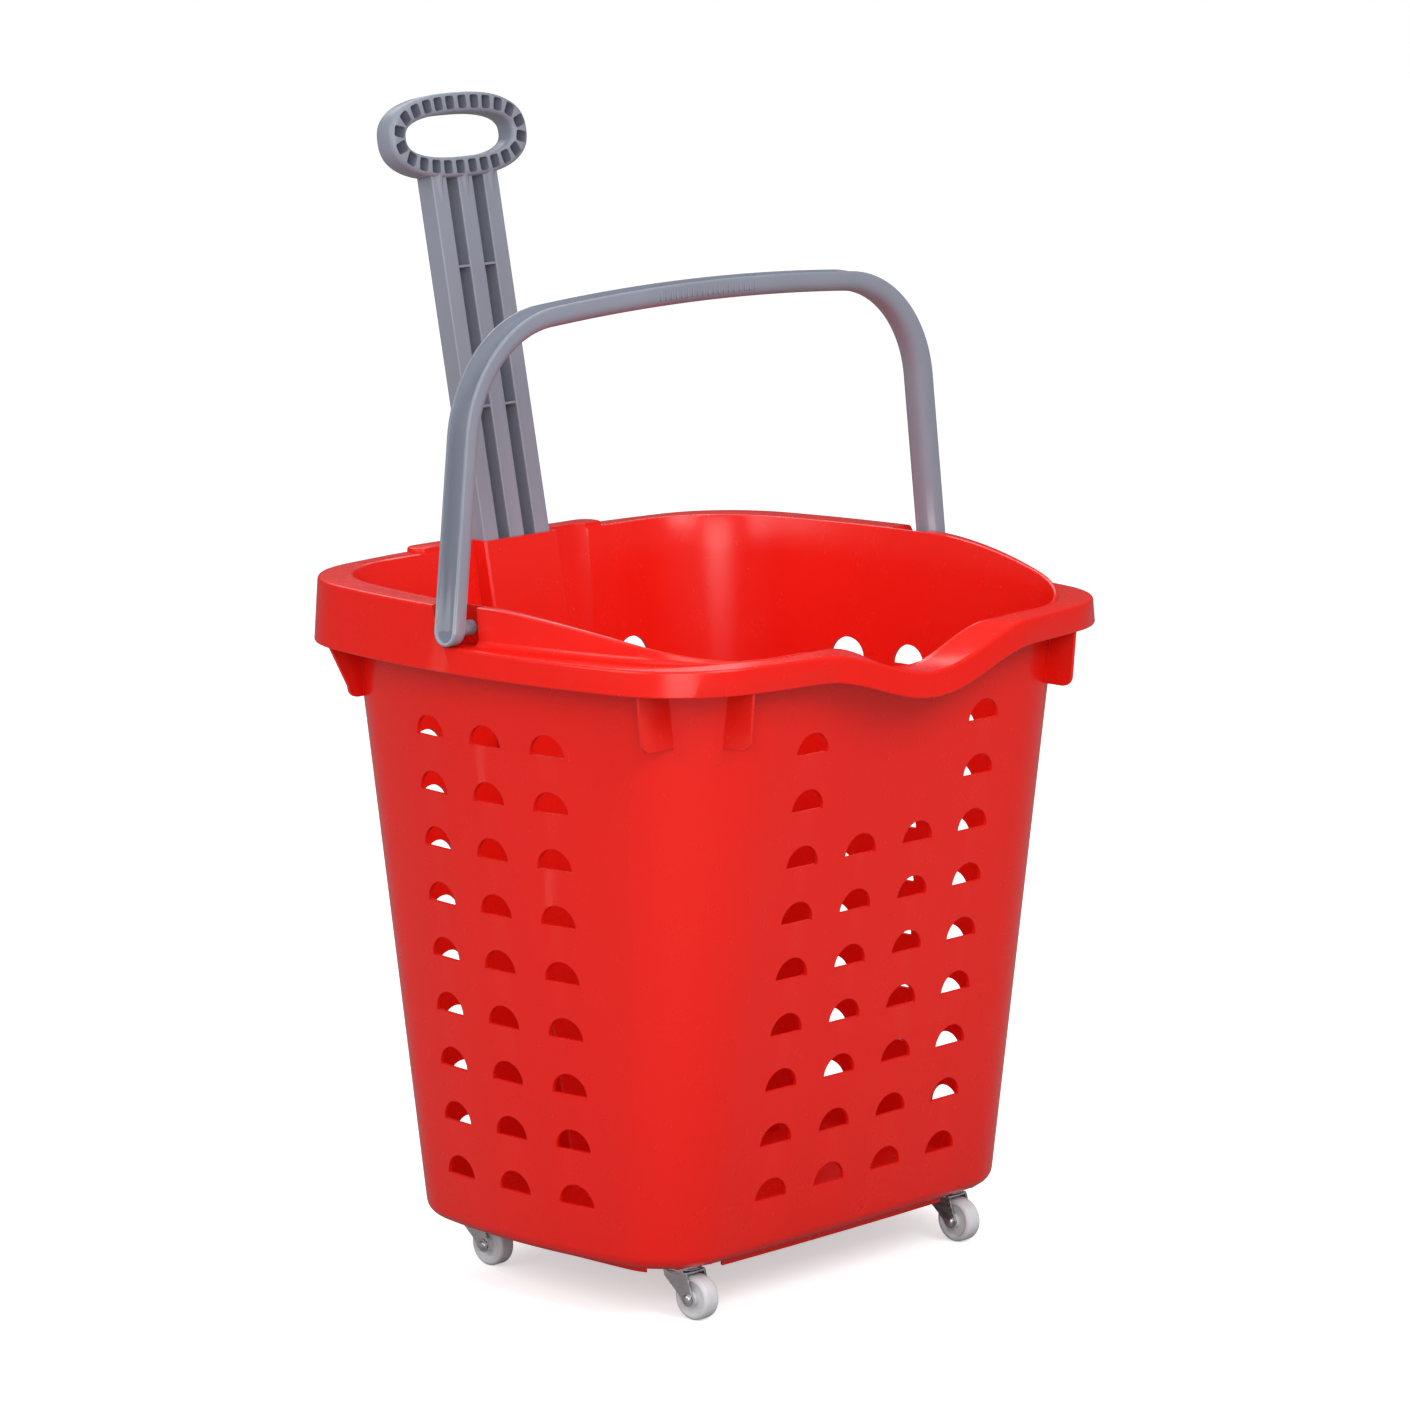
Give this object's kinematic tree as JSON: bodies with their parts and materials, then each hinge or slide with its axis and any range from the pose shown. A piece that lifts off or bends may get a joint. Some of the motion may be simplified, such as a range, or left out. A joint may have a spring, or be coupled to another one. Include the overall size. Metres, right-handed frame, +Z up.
{
  "type": "rolling basket trolley",
  "caption": "Tapered plastic shop basket on swivel casters, with a folding carry bail across the rim and a pull handle that slides out of the back wall.",
  "frame": {"origin": "on the ground under the middle of the trolley footprint, taken over its full depth with the pull handle raised", "axes": "+Z up; +Y towards the pull handle; +X along the hinge line of the carry bail, to the right of a viewer who faces the dipped front wall"},
  "size_m": [0.476, 0.4671, 0.7842],
  "materials": {
    "red_plastic": "glossy injection-moulded polypropylene",
    "grey_plastic": "satin blue-grey polypropylene",
    "white_nylon": "smooth off-white nylon",
    "zinc": "bright zinc plating"
  },
  "bodies": {
    "tub": {"basket_tub": "red_plastic", "caster_plate_front_left": "zinc", "swivel_bearing_front_left": "zinc", "kingpin_rivet_front_left": "zinc", "mounting_screw_1_front_left": "zinc", "mounting_screw_2_front_left": "zinc", "mounting_screw_3_front_left": "zinc", "mounting_screw_4_front_left": "zinc", "caster_plate_front_right": "zinc", "swivel_bearing_front_right": "zinc", "kingpin_rivet_front_right": "zinc", "mounting_screw_1_front_right": "zinc", "mounting_screw_2_front_right": "zinc", "mounting_screw_3_front_right": "zinc", "mounting_screw_4_front_right": "zinc", "caster_plate_rear_left": "zinc", "swivel_bearing_rear_left": "zinc", "kingpin_rivet_rear_left": "zinc", "mounting_screw_1_rear_left": "zinc", "mounting_screw_2_rear_left": "zinc", "mounting_screw_3_rear_left": "zinc", "mounting_screw_4_rear_left": "zinc", "caster_plate_rear_right": "zinc", "swivel_bearing_rear_right": "zinc", "kingpin_rivet_rear_right": "zinc", "mounting_screw_1_rear_right": "zinc", "mounting_screw_2_rear_right": "zinc", "mounting_screw_3_rear_right": "zinc", "mounting_screw_4_rear_right": "zinc"},
    "bail": {"bail_handle": "grey_plastic"},
    "pull": {"pull_handle": "grey_plastic"},
    "fork_front_left": {"caster_fork_front_left": "zinc", "axle_bolt_front_left": "zinc", "axle_nut_front_left": "zinc"},
    "wheel_front_left": {"caster_wheel_front_left": "white_nylon"},
    "fork_front_right": {"caster_fork_front_right": "zinc", "axle_bolt_front_right": "zinc", "axle_nut_front_right": "zinc"},
    "wheel_front_right": {"caster_wheel_front_right": "white_nylon"},
    "fork_rear_left": {"caster_fork_rear_left": "zinc", "axle_bolt_rear_left": "zinc", "axle_nut_rear_left": "zinc"},
    "wheel_rear_left": {"caster_wheel_rear_left": "white_nylon"},
    "fork_rear_right": {"caster_fork_rear_right": "zinc", "axle_bolt_rear_right": "zinc", "axle_nut_rear_right": "zinc"},
    "wheel_rear_right": {"caster_wheel_rear_right": "white_nylon"}
  },
  "joints": [
    {"name": "bail_fold", "type": "hinge", "parent": "tub", "child": "bail", "pos_m": [0, -0.01855, 0.4608], "axis": [1, 0, 0], "range_deg": [-26, 90]},
    {"name": "handle_slide", "type": "slide", "parent": "tub", "child": "pull", "axis": [0, 0.1874, 0.9823], "range_m": [-0.238, 0]},
    {"name": "swivel_front_left", "type": "hinge", "parent": "tub", "child": "fork_front_left", "pos_m": [-0.1295, -0.12355, 0.0327], "axis": [0, 0, 1], "continuous": true},
    {"name": "spin_front_left", "type": "hinge", "parent": "fork_front_left", "child": "wheel_front_left", "pos_m": [-0.1295, -0.13555, 0.015], "axis": [1, 0, 0], "continuous": true},
    {"name": "swivel_front_right", "type": "hinge", "parent": "tub", "child": "fork_front_right", "pos_m": [0.1295, -0.12355, 0.0327], "axis": [0, 0, 1], "continuous": true},
    {"name": "spin_front_right", "type": "hinge", "parent": "fork_front_right", "child": "wheel_front_right", "pos_m": [0.1295, -0.13555, 0.015], "axis": [1, 0, 0], "continuous": true},
    {"name": "swivel_rear_left", "type": "hinge", "parent": "tub", "child": "fork_rear_left", "pos_m": [-0.1295, 0.07145, 0.0327], "axis": [0, 0, 1], "continuous": true},
    {"name": "spin_rear_left", "type": "hinge", "parent": "fork_rear_left", "child": "wheel_rear_left", "pos_m": [-0.1295, 0.05945, 0.015], "axis": [1, 0, 0], "continuous": true},
    {"name": "swivel_rear_right", "type": "hinge", "parent": "tub", "child": "fork_rear_right", "pos_m": [0.1295, 0.07145, 0.0327], "axis": [0, 0, 1], "continuous": true},
    {"name": "spin_rear_right", "type": "hinge", "parent": "fork_rear_right", "child": "wheel_rear_right", "pos_m": [0.1295, 0.05945, 0.015], "axis": [1, 0, 0], "continuous": true}
  ]
}
